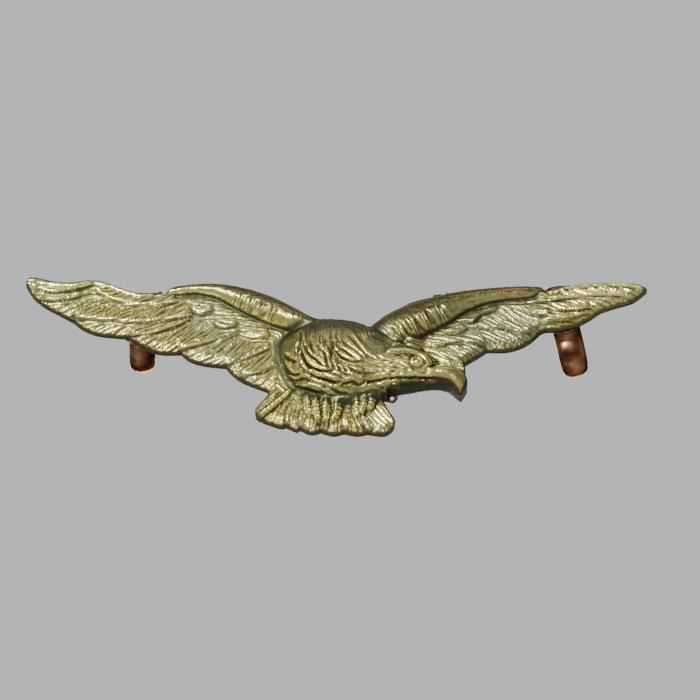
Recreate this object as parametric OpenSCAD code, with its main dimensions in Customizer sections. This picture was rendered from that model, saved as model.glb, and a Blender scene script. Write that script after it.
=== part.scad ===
// Eagle cap badge: one die-struck brass eagle with two copper wire lugs brazed to its back.
// The badge stands as it is worn: +Z is up, +X is to the viewer's right, and the front faces -Y.
// The origin is on the flat back (y = 0), midway between the wing tips and 1 mm below the top of the
// eagle's back.

/* [Eagle] */
// Distance from wing tip to wing tip
wingspan = 50; // [45:1:55]
// Thickness of the wings and tail
plate_t = 0.9; // [0.7:0.05:1.2]
// Height of the wing bones above the back
shoulder_h = 2.1; // [1.6:0.1:2.4]
// Height of the breast above the back
breast_h = 3.0; // [2.6:0.1:3.4]
// Height of the head above the back
head_h = 3.2; // [2.7:0.1:3.5]
// Metal left between the struck hollow and the front
wall_t = 0.9; // [0.7:0.1:1.1]

/* [Lugs] */
// Width of the flattened copper wire
wire_w = 2.1; // [1.8:0.1:2.4]
// Thickness of the flattened copper wire
wire_t = 1.2; // [1.1:0.1:1.4]
// Radius of the round eye that takes a split pin
eye_r = 1.3; // [1.2:0.1:1.5]
// Distance from the badge's back to the far side of an upright lug
lug_reach = 6.6; // [6.4:0.1:7.4]
// Angle that the left lug leans outward
left_lean_out = 0; // [0:1:6]
// Angle that the left lug leans upward
left_lean_up = 3; // [0:1:6]
// Angle that the right lug leans outward
right_lean_out = 9; // [0:1:12]
// Angle that the right lug leans downward
right_lean_down = 16; // [0:1:18]
// Turn of the right lug's feet, seen from the front
right_turn = 10; // [0:1:12]

/* [Braze] */
// Width of the braze around a foot
braze_w = 0.45; // [0.3:0.05:0.5]
// Height of the braze on a foot
braze_h = 0.4; // [0.3:0.05:0.6]

/* [Hidden] */

brass = [0.55, 0.48, 0.26];
copper = [0.55, 0.28, 0.16];
solder = [0.62, 0.54, 0.36];

design_span = 50;              // the outline and the forms are drawn for this wingspan
k = wingspan / design_span;
level = 1;                     // the drawing's own z = 0 lies this far above the origin
curve_steps = 3;               // points along each stretch of a smooth curve
ball_fn = 20;
tall = 12;                     // more than any height or depth of the badge
$fn = 48;

// ---------- outline, clockwise from the left wing tip, as [x, z] ----------

left_wing_top = [[-24.9, 3.7], [-24.5, 4.3], [-22.7, 3.9], [-21, 3.8], [-19.3, 4], [-18, 3.6],
    [-16.1, 2.9], [-14.3, 2.9], [-13.7, 2.7]];
left_shoulder = [[-13.7, 2.7], [-12.9, 3.3], [-11.4, 3.5], [-9.7, 3.5], [-7.9, 3.2], [-6.1, 2.8],
    [-4.4, 2], [-3, 1.3], [-1.8, 0.4], [-1.3, 0]];
back_top = [[-1.3, 0], [0.5, 0], [1.8, -0.2], [2.5, -0.5]];
right_shoulder = [[2.5, -0.5], [3.9, 0.8], [5.1, 1.5], [6.5, 2.2], [9.3, 2.8], [11.7, 3.1],
    [14.3, 3.3], [15.9, 3.4], [16.8, 3.2]];
right_wing_top = [[16.8, 3.2], [18.2, 3.4], [19.6, 3.6], [21.8, 3.75], [23.9, 3.7], [24.8, 3.4],
    [25, 3.2]];
right_primaries = [[25, 3.2], [23.9, 2.3], [22.7, 1.9], [21.3, 1.4], [20.4, 0.75], [19.4, 0.2],
    [18, -0.25], [16.9, -0.3]];
right_secondaries = [[16.9, -0.3], [16.4, -0.5], [15.7, -1.2], [14.7, -1.8], [13.5, -2.1], [12.1, -2.1]];
right_innermost = [[12.1, -2.1], [11.4, -2.6], [10.3, -3.3]];
beak = [[10.3, -3.3], [10.4, -4.6], [10.5, -5.5], [10.3, -6], [9.95, -6.5]];
beak_under = [[9.95, -6.5], [9.6, -6.2], [9.1, -5.7], [8.2, -5.4], [7, -5.5], [6, -5.7], [4.9, -5.9]];
web = [[4.9, -5.9], [4.95, -6.1], [4.6, -6.5], [4.2, -6.4], [3.7, -6.4]];
tail_right = [[3.7, -6.4], [4.2, -7.5], [4.7, -8.3], [4.6, -8.9], [3.9, -9.45], [2.5, -9.3]];
tail_lobe_4 = [[2.5, -9.3], [1.75, -9.45], [0.65, -9.25]];
tail_lobe_3 = [[0.65, -9.25], [-0.2, -9.45], [-1.2, -9.15]];
tail_lobe_2 = [[-1.2, -9.15], [-1.95, -9.35], [-2.85, -8.95]];
tail_lobe_1 = [[-2.85, -8.95], [-3.15, -9.1], [-4, -8.7]];
tail_left = [[-4, -8.7], [-4.4, -8.8], [-6, -8.2], [-6.4, -7.8], [-6.3, -7.2], [-5.4, -6.1], [-5.5, -5.6]];
left_innermost = [[-5.5, -5.6], [-7.4, -4.8], [-8.25, -4.15], [-8.8, -3.5]];
left_secondaries_1 = [[-8.8, -3.5], [-10.5, -3.3], [-11.7, -2.9], [-12.4, -2.3]];
left_secondaries_2 = [[-12.4, -2.3], [-14, -2.3], [-15.05, -1.9], [-16.1, -1.3], [-16.7, -0.9]];
left_primaries_1 = [[-16.7, -0.9], [-17.8, -0.8], [-19.2, -0.6], [-20.3, -0.1], [-21, 0.5]];
left_primaries_2 = [[-21, 0.5], [-22.4, 1.3], [-23.4, 1.9], [-24.3, 2.7], [-24.9, 3.7]];

outline_runs = [
    left_wing_top, left_shoulder, back_top, right_shoulder, right_wing_top,
    right_primaries, right_secondaries, right_innermost, beak, beak_under, web,
    tail_right, tail_lobe_4, tail_lobe_3, tail_lobe_2, tail_lobe_1, tail_left,
    left_innermost, left_secondaries_1, left_secondaries_2, left_primaries_1, left_primaries_2
];

// A point on the Catmull-Rom curve between b and c
function between(a, b, c, d, t) =
    0.5 * (2 * b + (c - a) * t + (2 * a - 5 * b + 4 * c - d) * t * t
        + (3 * b - a - 3 * c + d) * t * t * t);

// A smooth run through the points p with a corner at each end; its last point starts the next run
function smooth_run(p) = [
    for (i = [0 : len(p) - 2], j = [0 : curve_steps - 1])
        between(p[max(i - 1, 0)], p[i], p[i + 1], p[min(i + 2, len(p) - 1)], j / curve_steps)
];

outline = [for (run = outline_runs, p = smooth_run(run)) p * k];

// Brings a sub-part from the drawing's level to the origin's
module leveled() translate([0, 0, level * k]) children();

// ---------- eagle ----------

// Rounded forms of the relief: each ball is [x, z, radius, height of its top above the back]
left_bone = [[-12.7, 2.85, 0.4, 1.3], [-9.6, 2.7, 0.7, 1.8], [-6.4, 1.6, 1.1, shoulder_h],
    [-3, 0, 1, shoulder_h]];
right_bone = [[15.4, 2.8, 0.5, 1.3], [11.2, 2.2, 0.75, 1.7], [7.4, 0.9, 1.2, shoulder_h],
    [4.1, -0.5, 1.1, shoulder_h]];
breast = [[-2, -2.8, 2.4, breast_h], [1, -3.2, 2.5, breast_h], [-0.9, -4.4, 2, breast_h - 0.1]];
neck = [[1, -3.2, 2.5, breast_h], [5.6, -3.8, 1.7, head_h]];
face = [[5.6, -3.8, 1.7, head_h], [8.7, -4.5, 0.85, 2.6]];
beak_hook = [[8.7, -4.5, 0.85, 2.6], [9.9, -5.6, 0.45, 2.2]];
legs = [[-2.1, -6.5, 0.6, 1.8], [2.5, -6.9, 0.6, 1.8], [0.2, -8.4, 0.5, 1.5]];

// Round pits that striking leaves behind the breast and the head: [x, z, height of the form over it]
brow_h = 0.8;                  // the head's top is this far above the form that the pit follows
pits = [[-1.8, -3, breast_h], [1.2, -3.5, breast_h], [5.4, -3.7, head_h - brow_h]];

pierce_at = [4.5, -6.1];       // the small piercing in the web between the jaw and the tail
pierce_r = 0.18;
pierce_start = 1;              // the piercing is cut from this far behind the back

// Stands a flat drawing up as a slab that reaches h in front of the back
module slab(h) rotate([90, 0, 0]) linear_extrude(h) children();

// One rounded form around a list of balls
module form(balls) hull() for (b = balls)
    translate([b[0] * k, b[2] - b[3], b[1] * k]) sphere(b[2], $fn = ball_fn);

// The forms of the relief, from halfway through the plate forwards
module relief() intersection() {
    union() {
        form(left_bone);
        form(right_bone);
        form(breast);
        form(neck);
        form(face);
        form(beak_hook);
        form(legs);
    }
    translate([-wingspan / 2, -plate_t / 2 - tall, -wingspan / 2]) cube([wingspan, tall, wingspan]);
}

module eagle() color(brass) leveled() difference() {
    union() {
        slab(plate_t) polygon(outline);
        relief();
    }
    for (p = pits) translate([p[0] * k, 0, p[1] * k]) sphere(p[2] - wall_t);
    translate([pierce_at[0] * k, pierce_start, pierce_at[1] * k]) rotate([90, 0, 0])
        cylinder(h = tall, r = pierce_r);
}

// ---------- lugs ----------
// A lug is one length of flattened wire: a foot, a leg, the round eye, a leg and a foot, with the legs
// pinched together under the eye.

eye_depth = lug_reach - wire_t - eye_r;
neck_t = 2;                    // thickness of the two pinched legs together
neck_sink = 1.5;               // how far the legs are drawn past the back before they are cut flush
foot_t = 0.9;                  // a foot is hammered thinner than the wire
inner_round = 0.25;
outer_round = 0.5;
corner_steps = 4;
lug_fn = 64;

left_lug_at = [-15.6 * k, 0.8 * k];
right_lug_at = [18.1 * k, 1.5 * k];

// How far each foot and its braze reach from the legs' middle
left_upper_foot = 1.55;
left_lower_foot = 1.8;
right_upper_foot = 2.4;        // this foot shows above the wing, in its notch
right_lower_foot = 1.4;
right_upper_braze = 1.7;       // the right lug's braze stops at the wing's edges
right_lower_braze = 1.6;

function arc(centre, r, from) = [
    for (i = [0 : corner_steps]) let (a = from + 90 * i / corner_steps)
        centre + r * [cos(a), sin(a)]
];

// The wire's section: its inner side lies on x = 0, its outer side on x = wire_t
wire_section = let (w = wire_w / 2) concat(
    arc([inner_round, -w + inner_round], inner_round, 180),
    arc([wire_t - outer_round, -w + outer_round], outer_round, 270),
    arc([wire_t - outer_round, w - outer_round], outer_round, 0),
    arc([inner_round, w - inner_round], inner_round, 90)
);

// The eye and its pinched legs, pointing along +Y, with the wire's width along X
module loop() {
    legs_length = eye_depth - eye_r - wire_t / 2 + neck_sink;
    translate([0, eye_depth, 0]) rotate([0, 90, 0])
        rotate_extrude($fn = lug_fn) translate([eye_r, 0]) polygon(wire_section);
    translate([-wire_w / 2, -neck_sink, -neck_t / 2]) cube([wire_w, legs_length, neck_t]);
}

// A strip up the back from the legs' middle, with a rounded end at reach
module strip(reach, w, t) rotate([-90, 0, 0]) mirror([0, 1]) linear_extrude(t) {
    corner = w / 3;
    translate([-w / 2, 0]) square([w, reach - corner]);
    translate([-w / 2 + corner, 0]) square([w - 2 * corner, reach]);
    for (side = [-1, 1]) translate([side * (w / 2 - corner), reach - corner])
        circle(corner, $fn = lug_fn);
}

// Puts a drawing where a lug stands on the back
module on_back(at, turn) leveled() translate([at[0], 0, at[1]]) rotate([0, -turn, 0]) children();

module lug(lean_out, lean_down, upper_foot, lower_foot) {
    intersection() {
        rotate([-lean_down, 0, -lean_out]) loop();
        translate([-tall / 2, 0, -tall / 2]) cube(tall);
    }
    strip(upper_foot, wire_w, foot_t);
    mirror([0, 0, 1]) strip(lower_foot, wire_w, foot_t);
}

module lug_left() color(copper) on_back(left_lug_at, 0)
    lug(-left_lean_out, -left_lean_up, left_upper_foot, left_lower_foot);

module lug_right() color(copper) on_back(right_lug_at, right_turn)
    lug(right_lean_out, right_lean_down, right_upper_foot, right_lower_foot);

// ---------- braze ----------

leg_clearance = 0.15;          // left free between the legs and the braze
braze_gap = neck_t / 2 + leg_clearance;

// The braze on both sides and around the end of an upper foot
module braze(foot_reach, braze_reach) color(solder) intersection() {
    difference() {
        strip(foot_reach + braze_w, wire_w + 2 * braze_w, braze_h);
        strip(foot_reach, wire_w, foot_t);
    }
    translate([-tall / 2, 0, braze_gap]) cube([tall, braze_h, braze_reach - braze_gap]);
}

module braze_left_upper() on_back(left_lug_at, 0) braze(left_upper_foot, tall);
module braze_left_lower() on_back(left_lug_at, 0) mirror([0, 0, 1]) braze(left_lower_foot, tall);
module braze_right_upper() on_back(right_lug_at, right_turn)
    braze(right_upper_foot, right_upper_braze);
module braze_right_lower() on_back(right_lug_at, right_turn) mirror([0, 0, 1])
    braze(right_lower_foot, right_lower_braze);

eagle();
lug_left();
lug_right();
braze_left_upper();
braze_left_lower();
braze_right_upper();
braze_right_lower();
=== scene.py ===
"""Looks of the eagle cap badge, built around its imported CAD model.

The eagle is sculpted as a height field: one grid in the drawing's plane, with the relief's height
at each point, cut to the outline of the CAD eagle. Lengths inside the sculpting code are in
millimetres of the drawing, [x, z], whose z = 0 lies LEVEL above the row's origin.
"""

import math
from math import pi, radians

import bmesh
import bpy
import numpy as np
from numpy import clip, exp, hypot, maximum, minimum, sqrt, where
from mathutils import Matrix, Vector, geometry


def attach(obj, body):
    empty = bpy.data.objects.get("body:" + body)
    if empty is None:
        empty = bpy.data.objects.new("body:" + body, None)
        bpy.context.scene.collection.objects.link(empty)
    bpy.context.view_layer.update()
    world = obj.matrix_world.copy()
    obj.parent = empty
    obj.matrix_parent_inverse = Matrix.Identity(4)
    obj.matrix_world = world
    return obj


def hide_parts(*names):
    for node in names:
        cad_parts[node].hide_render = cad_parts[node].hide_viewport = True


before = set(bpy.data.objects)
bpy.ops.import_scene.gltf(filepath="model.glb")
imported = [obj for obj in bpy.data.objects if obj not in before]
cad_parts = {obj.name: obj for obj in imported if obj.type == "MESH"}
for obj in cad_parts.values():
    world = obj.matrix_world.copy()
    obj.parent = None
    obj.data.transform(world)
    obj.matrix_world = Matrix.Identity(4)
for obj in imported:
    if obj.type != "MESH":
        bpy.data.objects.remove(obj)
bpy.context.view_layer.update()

MM = 0.001
LEVEL = 1.0            # the drawing's z = 0 above the row's origin
PITCH = 0.06           # the grid's spacing
MARGIN = 0.6           # the grid's reach past the outline
SPECK = 1e-9           # keeps a length from being 0
FLAT = 0.002           # how far from the back a point of it may be


# ---------- the outline, from the CAD eagle ----------

def edge_loops(faces):
    """The loops of edges that only one face has, in the direction of that face."""
    a = np.concatenate([np.array(f) for f in faces])
    b = np.concatenate([np.roll(f, -1) for f in faces])
    count = max(a.max(), b.max()) + 1
    alone = ~np.isin(a * count + b, b * count + a)
    ahead = dict(zip(a[alone].tolist(), b[alone].tolist()))
    loops = []
    while ahead:
        start, here = ahead.popitem()
        loop = [start]
        while here != start:
            loop.append(here)
            here = ahead.pop(here)
        loops.append(loop)
    return loops


def cad_outline():
    """The longest edge loop of the CAD eagle's flat back, as points [x, z] of the drawing."""
    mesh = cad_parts["eagle"].data
    points = [tuple(round(c / MM, 3) for c in v.co) for v in mesh.vertices]
    numbers = {}
    faces = []
    for face in mesh.polygons:
        corners = [points[i] for i in face.vertices]
        if all(abs(c[1]) < FLAT for c in corners):
            faces.append([numbers.setdefault((c[0], c[2]), len(numbers)) for c in corners])
    longest = max(edge_loops(faces), key=len)
    return np.array(list(numbers))[longest] - [0, LEVEL]


outline = cad_outline()
low = outline.min(0) - MARGIN
high = outline.max(0) + MARGIN
xs = np.arange(low[0], high[0], PITCH)
zs = np.arange(low[1], high[1], PITCH)
X, Z = np.meshgrid(xs, zs)


# ---------- helpers on the grid ----------

def smooth(t):
    t = clip(t, 0, 1)
    return t * t * (3 - 2 * t)


def bell(distance, width):
    return exp(-(distance / width) ** 2)


def dome(t):
    """A quarter circle: 0 at t = 0, level at 1 from t = 1."""
    return sqrt(1 - (1 - clip(t, 0, 1)) ** 2)


def curve(points, steps=6, closed=False):
    """A Catmull-Rom curve through rows of numbers."""
    p = np.array(points, float)
    if closed:
        p = np.vstack([p[-1:], p, p[:2]])
    else:
        p = np.vstack([2 * p[0] - p[1], p, 2 * p[-1] - p[-2]])
    t = np.linspace(0, 1, steps, endpoint=False)[:, None]
    rows = []
    for a, b, c, d in zip(p, p[1:], p[2:], p[3:]):
        rows.append(0.5 * (2 * b + (c - a) * t + (2 * a - 5 * b + 4 * c - d) * t ** 2
                           + (3 * b - a - 3 * c + d) * t ** 3))
    rows.append(p[-2][None, :])
    return np.vstack(rows)


def blur(field, size, weight=None):
    """A Gaussian blur of that size in mm, which leaves out the points of no weight."""
    fx = np.fft.rfftfreq(field.shape[1], PITCH)
    fz = np.fft.fftfreq(field.shape[0], PITCH)[:, None]
    kernel = exp(-2 * (pi * size) ** 2 * (fx ** 2 + fz ** 2))

    def spread(f):
        return np.fft.irfft2(np.fft.rfft2(f) * kernel, s=f.shape)

    if weight is None:
        return spread(field)
    return spread(field * weight) / maximum(spread(weight), 1e-3)


def look_up(field, x, z):
    """The field between its grid points."""
    i = clip((np.asarray(x) - xs[0]) / PITCH, 0, len(xs) - 1.001)
    j = clip((np.asarray(z) - zs[0]) / PITCH, 0, len(zs) - 1.001)
    i0 = i.astype(int)
    j0 = j.astype(int)
    u = i - i0
    v = j - j0
    return ((field[j0, i0] * (1 - u) + field[j0, i0 + 1] * u) * (1 - v)
            + (field[j0 + 1, i0] * (1 - u) + field[j0 + 1, i0 + 1] * u) * v)


def near(points, reach, closed=False):
    """How the grid lies along a curve through points [x, z, ...].

    Gives the part of the grid within reach, and there the distance from the curve (more than 0 to
    the left of its direction), the length along it, its whole length, and each further column.
    """
    p = curve(points, closed=closed)
    first = maximum(((p.min(0)[:2] - reach - [xs[0], zs[0]]) / PITCH).astype(int), 0)
    last = ((p.max(0)[:2] + reach - [xs[0], zs[0]]) / PITCH).astype(int) + 2
    part = (slice(first[1], last[1]), slice(first[0], last[0]))
    x = X[part]
    z = Z[part]
    best = np.full(x.shape, np.inf)
    side = np.zeros(x.shape)
    along = np.zeros(x.shape)
    extra = [np.zeros(x.shape) for _ in range(p.shape[1] - 2)]
    done = 0.0
    for a, b in zip(p, p[1:]):
        ab = b[:2] - a[:2]
        size = math.hypot(*ab)
        if size < SPECK:
            continue
        t = clip(((x - a[0]) * ab[0] + (z - a[1]) * ab[1]) / size ** 2, 0, 1)
        gap = (x - a[0] - t * ab[0]) ** 2 + (z - a[1] - t * ab[1]) ** 2
        nearer = gap < best
        best = where(nearer, gap, best)
        side = where(nearer, ab[0] * (z - a[1]) - ab[1] * (x - a[0]), side)
        along = where(nearer, done + t * size, along)
        for k, e in enumerate(extra):
            extra[k] = where(nearer, a[k + 2] + (b[k + 2] - a[k + 2]) * t, e)
        done += size
    return part, sqrt(best) * where(side < 0, -1, 1), along, done, extra


def inside(points):
    """True where the grid is inside a closed run of straight lines."""
    p = np.array(points)[:, :2]
    q = np.roll(p, -1, axis=0)
    result = np.zeros(X.shape, bool)
    for j, z in enumerate(zs):
        cut = (p[:, 1] > z) != (q[:, 1] > z)
        a = p[cut]
        b = q[cut]
        crossings = np.sort(a[:, 0] + (z - a[:, 1]) * (b[:, 0] - a[:, 0]) / (b[:, 1] - a[:, 1]))
        result[j] = np.searchsorted(crossings, xs) % 2 == 1
    return result


# ---------- the relief ----------

height = np.full(X.shape, 1.0)       # of the front above the back
barb = np.full(X.shape, 0.065)       # how deep the barbs are cut
flow = np.zeros(X.shape + (2,))      # which way they run, as a vector of twice the angle
bare = np.zeros(X.shape)             # 1 where the metal is smooth
green = np.zeros(X.shape)            # 1 where the patina is thick
brown = np.zeros(X.shape)            # 1 where it is brown: tarnish, and on the rolls and the breast also painted shade
red_tint = np.zeros(X.shape)         # 1 where it is red
shade = np.zeros(X.shape)            # 1 where painted shade makes it nearly black


def at_least(field, value, part=...):
    """Raises a field to a value, in one part of the grid or all of it."""
    field[part] = maximum(field[part], value)


def feather_edge(points, reach=1.3, step=0.2, groove=0.17):
    """One feather lies over the next: the feather is on the left of its edge."""
    part, d, s, length, _ = near(points, reach)
    ends = smooth(s / 0.5) * smooth((length - s) / 0.5)
    over = step * smooth(d / 0.14) * (1 - smooth(d / reach))
    under = groove * exp(-np.abs(minimum(d, 0)) / 0.13) * (d < 0.05)
    height[part] += ends * (where(d > 0, over, 0) - under)
    # painted shade along the groove below the feather's edge
    at_least(shade, 0.9 * ends * bell(d + 0.07, 0.09), part)
    pull = 12 * bell(d, 0.16) * ends
    steer(part, points, pull)


def turn_barbs(part, twice, weight, pull=1.0):
    """Adds a direction to the flow: the blend of angles, given twice over, by their weights."""
    total = weight.sum(-1)
    flow[part + (0,)] += pull * (weight * np.cos(twice)).sum(-1) / total
    flow[part + (1,)] += pull * (weight * np.sin(twice)).sum(-1) / total


def steer(part, points, pull):
    """Turns the barbs along a curve, where pull is large."""
    p = curve(points)
    middle = (p[1:, :2] + p[:-1, :2]) / 2
    ab = p[1:, :2] - p[:-1, :2]
    twice = 2 * np.arctan2(ab[:, 1], ab[:, 0])
    x = X[part][..., None]
    z = Z[part][..., None]
    w = 1 / ((x - middle[:, 0]) ** 2 + (z - middle[:, 1]) ** 2 + 0.01) ** 2
    turn_barbs(part, twice, w, pull)


def comb(strokes):
    """Lays the barbs along short strokes [x, z, angle in degrees], blended in between."""
    s = np.array(strokes, float)
    x = X[..., None]
    z = Z[..., None]
    w = 1 / ((x - s[:, 0]) ** 2 + (1.5 * (z - s[:, 1])) ** 2 + 0.15) ** 2
    turn_barbs((slice(None), slice(None)), np.radians(2 * s[:, 2]), w)


def scatter(seed):
    """A random number at each point of the grid."""
    return np.random.default_rng(seed).standard_normal(X.shape)


def streaks(seed, width, length):
    """Noise drawn out along the barbs, about 1 high."""
    grain = scatter(seed)
    grain = blur(grain, width) - blur(grain, 1.8 * width)
    size = hypot(flow[..., 0], flow[..., 1]) + SPECK
    angle = 0.5 * np.arctan2(flow[..., 1] / size, flow[..., 0] / size)
    cos = np.cos(angle)
    sin = np.sin(angle)
    steps = int(length / PITCH / 2)
    total = grain.copy()
    for way in (1, -1):
        i, j = np.meshgrid(np.arange(len(xs), dtype=float), np.arange(len(zs), dtype=float))
        di = way * cos
        dj = way * sin
        for k in range(1, steps + 1):
            i += di
            j += dj
            ii = clip(np.rint(i), 0, len(xs) - 1).astype(int)
            jj = clip(np.rint(j), 0, len(zs) - 1).astype(int)
            turn = where(cos[jj, ii] * di + sin[jj, ii] * dj < 0, -1, 1)
            di = turn * cos[jj, ii]
            dj = turn * sin[jj, ii]
            total += grain[jj, ii] * math.cos(0.5 * pi * k / (steps + 1)) ** 2
    return total / total.std()


# Wings: each feather edge runs with its feather on the left
LEFT_EDGES = [
    # primaries
    [(-24.3, 3.15), (-22.7, 2.85), (-21, 3.05), (-19.3, 3.5)],
    [(-23.8, 2.3), (-22.5, 2.05), (-21, 2.35), (-20.2, 2.75)],
    [(-21.3, 0.75), (-20.4, 0.5), (-18.4, 0.35), (-16.2, 0.15), (-14, 0.3), (-12.3, 0.6), (-11.2, 0.8)],
    [(-19.6, 3.1), (-18.4, 2.4), (-17.5, 2), (-16.6, 1.75), (-14.9, 1.6), (-13.1, 1.85), (-12, 2.3)],
    # secondaries
    [(-16.7, -1), (-15, -0.9), (-13.4, -0.4), (-12, 0.25), (-11.2, 0.8)],
    [(-12.7, -2.3), (-10.9, -1.85), (-9.3, -1.35), (-7.6, -0.6)],
    [(-9, -3.7), (-7.6, -3.15), (-6.4, -2.7), (-5, -2)],
    [(-7.8, -4.65), (-6.65, -4.5), (-5.6, -4.1), (-4.6, -3.5)],
    # coverts
    [(-11.9, 1.7), (-11.4, 1.1), (-10.7, 0.85), (-9.6, 1.3)],
    [(-10, 0.4), (-9.5, -0.15), (-8.7, -0.35), (-7.6, 0)],
    [(-7.6, -0.75), (-6.9, -1.2), (-6.1, -1.25), (-5.1, -1.1)],
]
RIGHT_EDGES = [
    [(13.4, 1.9), (15.3, 1.9), (17.1, 2), (19, 2.3), (20.8, 2.5), (22.7, 2.5), (24, 2.4)],
    [(16.9, 2.1), (17.6, 1.45), (18.5, 1.2), (19.6, 1.25), (20.6, 1.6)],
    [(16.5, 0.35), (18, 0.35), (19.4, 0.75), (20.6, 1.3)],
    [(14.6, 1.75), (15.3, 1.05), (15.9, 0.85), (17.3, 0.8)],
    [(10.6, -0.2), (12.2, -0.4), (13.6, -0.5), (14.9, -0.75), (15.9, -0.6)],
    [(7.7, -1.8), (8.6, -2), (9.1, -1.7), (10.5, -1.65), (12.1, -1.95)],
    [(9.2, 0.5), (10.2, 0.3), (11, 0.15), (11.7, 0.85), (13.2, 1.35)],
    [(8.3, -0.6), (9.5, -0.85), (10.3, -0.6), (10.7, -0.1)],
]
BARBS = [
    # the left wing, from its tip inwards
    (-24.3, 3.6, -6), (-22.5, 3.4, -2), (-20.6, 3.5, 12), (-23.5, 2.6, 8), (-21.8, 2.7, 20),
    (-22.8, 1.8, 12), (-21.3, 1.7, 30), (-19.6, 1.6, 32), (-17.5, 1.2, 33), (-15.5, 1, 33),
    (-13.3, 1.1, 33), (-18.5, 3.2, 5), (-17, 2.6, 18), (-15, 2.3, 20), (-13.5, 2.4, 22),
    (-19.8, 0, 24), (-17.8, -0.2, 25), (-16, -0.3, 28), (-14.4, -1.5, 30), (-13, -0.9, 36),
    (-11.6, -0.6, 44), (-12, -1.8, 34), (-10.5, -0.2, 40), (-9.8, -2.5, 30), (-8.6, -1.9, 44),
    (-10.3, -2.9, 20), (-7.4, -2.2, 46), (-7.2, -3.8, 38), (-5.6, -3.2, 46), (-5.8, -4.8, 36),
    (-10.8, 1.3, -8), (-8.8, 0.2, -8), (-6.3, -0.9, -10),
    # the right wing
    (24.2, 3.1, -12), (22.3, 3.2, -12), (20, 3.2, -18), (18, 2.8, -24), (15.6, 2.5, -16),
    (23, 2.2, -8), (21.3, 2.1, -20), (19.7, 1.9, -28), (18.4, 1.7, -16), (19, 0.9, -10),
    (17.5, 0, 4), (16, 1.3, -8), (15.2, 0.3, -28), (13.6, 0.8, -40), (12.3, 0.5, -36),
    (14.6, -1, -26), (13, -1.3, -30), (11.4, -1.1, -28), (10.4, 0.8, 18), (9.2, -0.3, 12),
    (12.3, 1.4, 20), (9.8, -2.3, -32), (11, -2.2, -25), (8.3, -1.4, -10),
    # the tail
    (-5.5, -7.3, 48), (-4.3, -7.8, 62), (-3.3, -7.8, 76), (-1, -8.9, 84), (1.2, -8.8, 108),
    (2.4, -8.8, 128), (3.6, -8.6, 136), (3.6, -7.4, 120),
    # the breast, from its left edge to the face
    (-4.2, -2.2, 92), (-4.1, -3.7, 100), (-3.4, -5, 130), (-1.7, -6.1, 162), (0.6, -6.4, 178),
    (2.6, -6.1, 12), (-2.7, -1.8, 90), (-2.6, -3.3, 98), (-1.9, -4.5, 128), (-0.3, -5.2, 158),
    (1.2, -5.6, 170), (2.9, -5.7, 4), (-1.25, -1.7, 90), (-1.1, -2.8, 100), (-0.7, -3.9, 118),
    (0.1, -4.7, 138), (0.2, -1.6, 94), (0.4, -2.8, 112), (1, -3.6, 140), (1.8, -4.2, 158),
    (1.3, -1.9, 118), (1.9, -2.8, 130), (2.6, -3.6, 142), (0.9, -4.8, 165), (3, -4.7, 176),
    (4.3, -4.6, -6), (5.3, -4.9, -8), (7.2, -5.1, -10), (4.5, -5.6, 8), (6.3, -5.4, 2),
]


def lay_feathers():
    comb(BARBS)
    for points in LEFT_EDGES + RIGHT_EDGES:
        feather_edge(points)


def ridge(points, rise, power=1.0):
    """A raised line through points [x, z, half width]; a rise below 0 is a groove."""
    part, d, s, length, (w,) = near(points, 1)
    t = clip(1 - (d / w) ** 2, 0, 1) ** power
    ends = smooth(s / 0.25) * smooth((length - s) / 0.25)
    height[part] += rise * t * ends
    return part, t * ends


BONE_FOOT = 0.95       # the height where a bone's roll starts
RIB_RISE = 0.24
LEADING_RISE = 0.22
FEATHER_TOP = 1.0      # the height the feathers start from


def wing_bone(points, skirt, low_side):
    """The smooth roll along a wing's leading edge: points [x, z, half width, top].

    Below it a valley as wide as the skirt runs down to the feathers. Returns the part of the grid,
    how it lies across the roll (0 in the middle, 1 at the lower edge) and along it, and where the
    roll is.
    """
    part, d, s, length, (w, top) = near(points, 2 + skirt)
    here = height[part]
    t = np.abs(d) / w
    down = low_side * d / w
    roll = BONE_FOOT + (top - BONE_FOOT) * clip(1 - t ** 2, 0, 1) ** where(down > 0, 0.75, 0.5)
    beyond = (np.abs(d) - w) / skirt
    ends = smooth(s / 0.8) * smooth((length - s + 0.3) / 0.8)
    valley = (beyond > 0) * (1 - smooth(beyond)) * ends
    here = here * (1 - valley) + valley * (0.9 + 0.15 * clip(beyond, 0, 1) ** 2)
    on = t < 1
    height[part] = where(on, maximum(roll, minimum(here, FEATHER_TOP)), here)
    barb[part] *= where(on, 0.2, 1 - 0.8 * valley)
    at_least(bare, where(on, 0.8, 0.85 * valley), part)
    at_least(green, 0.85 * valley, part)
    # Tarnish over the whole roll, darker brown on its upper side and at its foot as painted shade;
    # near-black painted shade at the foot and in the valley below it
    upper = smooth((0.4 - down) / 0.45)
    foot = smooth((down - 0.75) / 0.2)
    at_least(brown, on * (0.5 + 0.5 * maximum(upper, foot)), part)
    at_least(shade, 0.7 * on * foot + 0.8 * valley, part)
    return part, down, s, on


def ribs(part, down, s, on, first, last, count):
    """Short ridges across the lower half of a wing bone."""
    phase = (s - first) / (last - first)
    here = on * smooth(phase / 0.15) * smooth((1 - phase) / 0.15)
    band = smooth((down + 0.15) / 0.3) * smooth((0.95 - down) / 0.3)
    sway = 0.3 * np.sin(31 * phase) + 0.2 * np.sin(57 * phase + 4 * down)
    wave = 0.5 + 0.5 * np.cos(2 * pi * (phase * count + 0.45 * down + sway))
    height[part] += RIB_RISE * here * band * (wave - 0.6)
    brown[part] *= 1 - 0.7 * here * band * wave


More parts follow.
